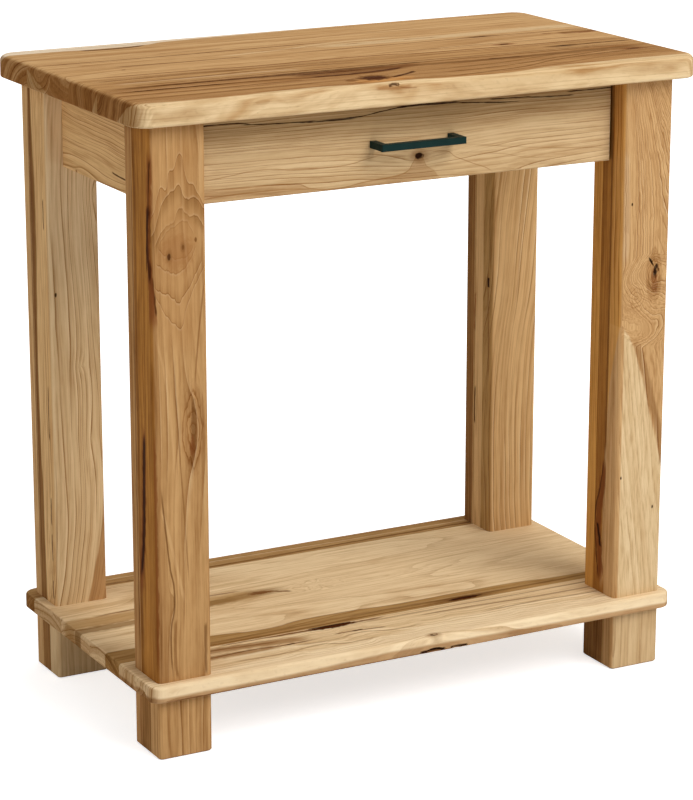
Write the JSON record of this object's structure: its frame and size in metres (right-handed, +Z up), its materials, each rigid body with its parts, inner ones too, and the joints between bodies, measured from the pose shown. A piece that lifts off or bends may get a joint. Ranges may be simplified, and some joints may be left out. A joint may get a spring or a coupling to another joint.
{
  "type": "hall table",
  "caption": "Rustic hickory hall table with a waney-edged top, laminated square legs, a low shelf and a full-width drawer on ball slides with a dark bar pull.",
  "frame": {"origin": "on the floor, under the middle of the top", "axes": "+X to the table's right, +Y to its back, +Z up; the drawer opens towards -Y"},
  "size_m": [0.728, 0.41, 0.762],
  "materials": {
    "top_hickory": "satin lacquer",
    "shelf_hickory": "satin lacquer",
    "leg_hickory": "satin lacquer",
    "foot_hickory": "satin lacquer",
    "apron_hickory": "satin lacquer",
    "drawer_front_hickory": "satin lacquer",
    "plain_hardwood": "planed",
    "maple": "clear lacquer",
    "birch_plywood": "clear lacquer",
    "dark_pull": "satin",
    "slide_zinc_steel": "zinc plated",
    "zinc_steel": "zinc plated",
    "brass_insert": "plain"
  },
  "bodies": {
    "frame": {"back_apron": "apron_hickory", "back_left_foot": "foot_hickory", "back_left_leg_back_stave": "leg_hickory", "back_left_leg_core_stave": "leg_hickory", "back_left_leg_front_stave": "leg_hickory", "back_right_foot": "foot_hickory", "back_right_leg_back_stave": "leg_hickory", "back_right_leg_core_stave": "leg_hickory", "back_right_leg_front_stave": "leg_hickory", "cleat_screws": "zinc_steel", "front_left_foot": "foot_hickory", "front_left_leg_back_stave": "leg_hickory", "front_left_leg_core_stave": "leg_hickory", "front_left_leg_front_stave": "leg_hickory", "front_right_foot": "foot_hickory", "front_right_leg_back_stave": "leg_hickory", "front_right_leg_core_stave": "leg_hickory", "front_right_leg_front_stave": "leg_hickory", "front_top_rail": "plain_hardwood", "left_apron": "apron_hickory", "left_slide_cleat": "plain_hardwood", "left_slide_outer_member": "slide_zinc_steel", "leg_bolt_inserts": "brass_insert", "leg_bolt_washers": "zinc_steel", "leg_bolts": "zinc_steel", "leg_dowels": "plain_hardwood", "right_apron": "apron_hickory", "right_slide_cleat": "plain_hardwood", "right_slide_outer_member": "slide_zinc_steel", "shelf_fourth_board": "shelf_hickory", "shelf_front_board": "shelf_hickory", "shelf_middle_board": "shelf_hickory", "shelf_rear_board": "shelf_hickory", "shelf_second_board": "shelf_hickory", "slide_carcase_screws": "zinc_steel", "top_clips": "zinc_steel", "top_fourth_board": "top_hickory", "top_front_board": "top_hickory", "top_middle_board": "top_hickory", "top_rear_board": "top_hickory", "top_screws": "zinc_steel", "top_second_board": "top_hickory"},
    "drawer": {"drawer_bottom": "birch_plywood", "drawer_box_back": "maple", "drawer_box_front": "maple", "drawer_front": "drawer_front_hickory", "drawer_left_side": "maple", "drawer_right_side": "maple", "drawer_pull": "dark_pull", "drawer_front_screws": "zinc_steel", "pull_screws": "zinc_steel", "slide_drawer_screws": "zinc_steel", "left_slide_inner_member": "slide_zinc_steel", "right_slide_inner_member": "slide_zinc_steel"},
    "left_middle_member": {"left_slide_middle_member": "slide_zinc_steel"},
    "left_outer_cage": {"left_slide_outer_cage": "slide_zinc_steel"},
    "left_inner_cage": {"left_slide_inner_cage": "slide_zinc_steel"},
    "right_middle_member": {"right_slide_middle_member": "slide_zinc_steel"},
    "right_outer_cage": {"right_slide_outer_cage": "slide_zinc_steel"},
    "right_inner_cage": {"right_slide_inner_cage": "slide_zinc_steel"}
  },
  "joints": [
    {"name": "drawer_slide", "type": "slide", "parent": "frame", "child": "drawer", "axis": [0, -1, 0], "range_m": [0, 0.24]},
    {"name": "left_outer_cage_slide", "type": "slide", "parent": "frame", "child": "left_outer_cage", "axis": [0, -1, 0], "range_m": [0, 0.06]},
    {"name": "left_middle_member_slide", "type": "slide", "parent": "frame", "child": "left_middle_member", "axis": [0, -1, 0], "range_m": [0, 0.12]},
    {"name": "left_inner_cage_slide", "type": "slide", "parent": "frame", "child": "left_inner_cage", "axis": [0, -1, 0], "range_m": [0, 0.18]},
    {"name": "right_outer_cage_slide", "type": "slide", "parent": "frame", "child": "right_outer_cage", "axis": [0, -1, 0], "range_m": [0, 0.06]},
    {"name": "right_middle_member_slide", "type": "slide", "parent": "frame", "child": "right_middle_member", "axis": [0, -1, 0], "range_m": [0, 0.12]},
    {"name": "right_inner_cage_slide", "type": "slide", "parent": "frame", "child": "right_inner_cage", "axis": [0, -1, 0], "range_m": [0, 0.18]}
  ],
  "couplings": [
    {"joint": "left_outer_cage_slide", "follows": "drawer_slide", "ratio": 0.25},
    {"joint": "left_middle_member_slide", "follows": "drawer_slide", "ratio": 0.5},
    {"joint": "left_inner_cage_slide", "follows": "drawer_slide", "ratio": 0.75},
    {"joint": "right_outer_cage_slide", "follows": "drawer_slide", "ratio": 0.25},
    {"joint": "right_middle_member_slide", "follows": "drawer_slide", "ratio": 0.5},
    {"joint": "right_inner_cage_slide", "follows": "drawer_slide", "ratio": 0.75}
  ]
}
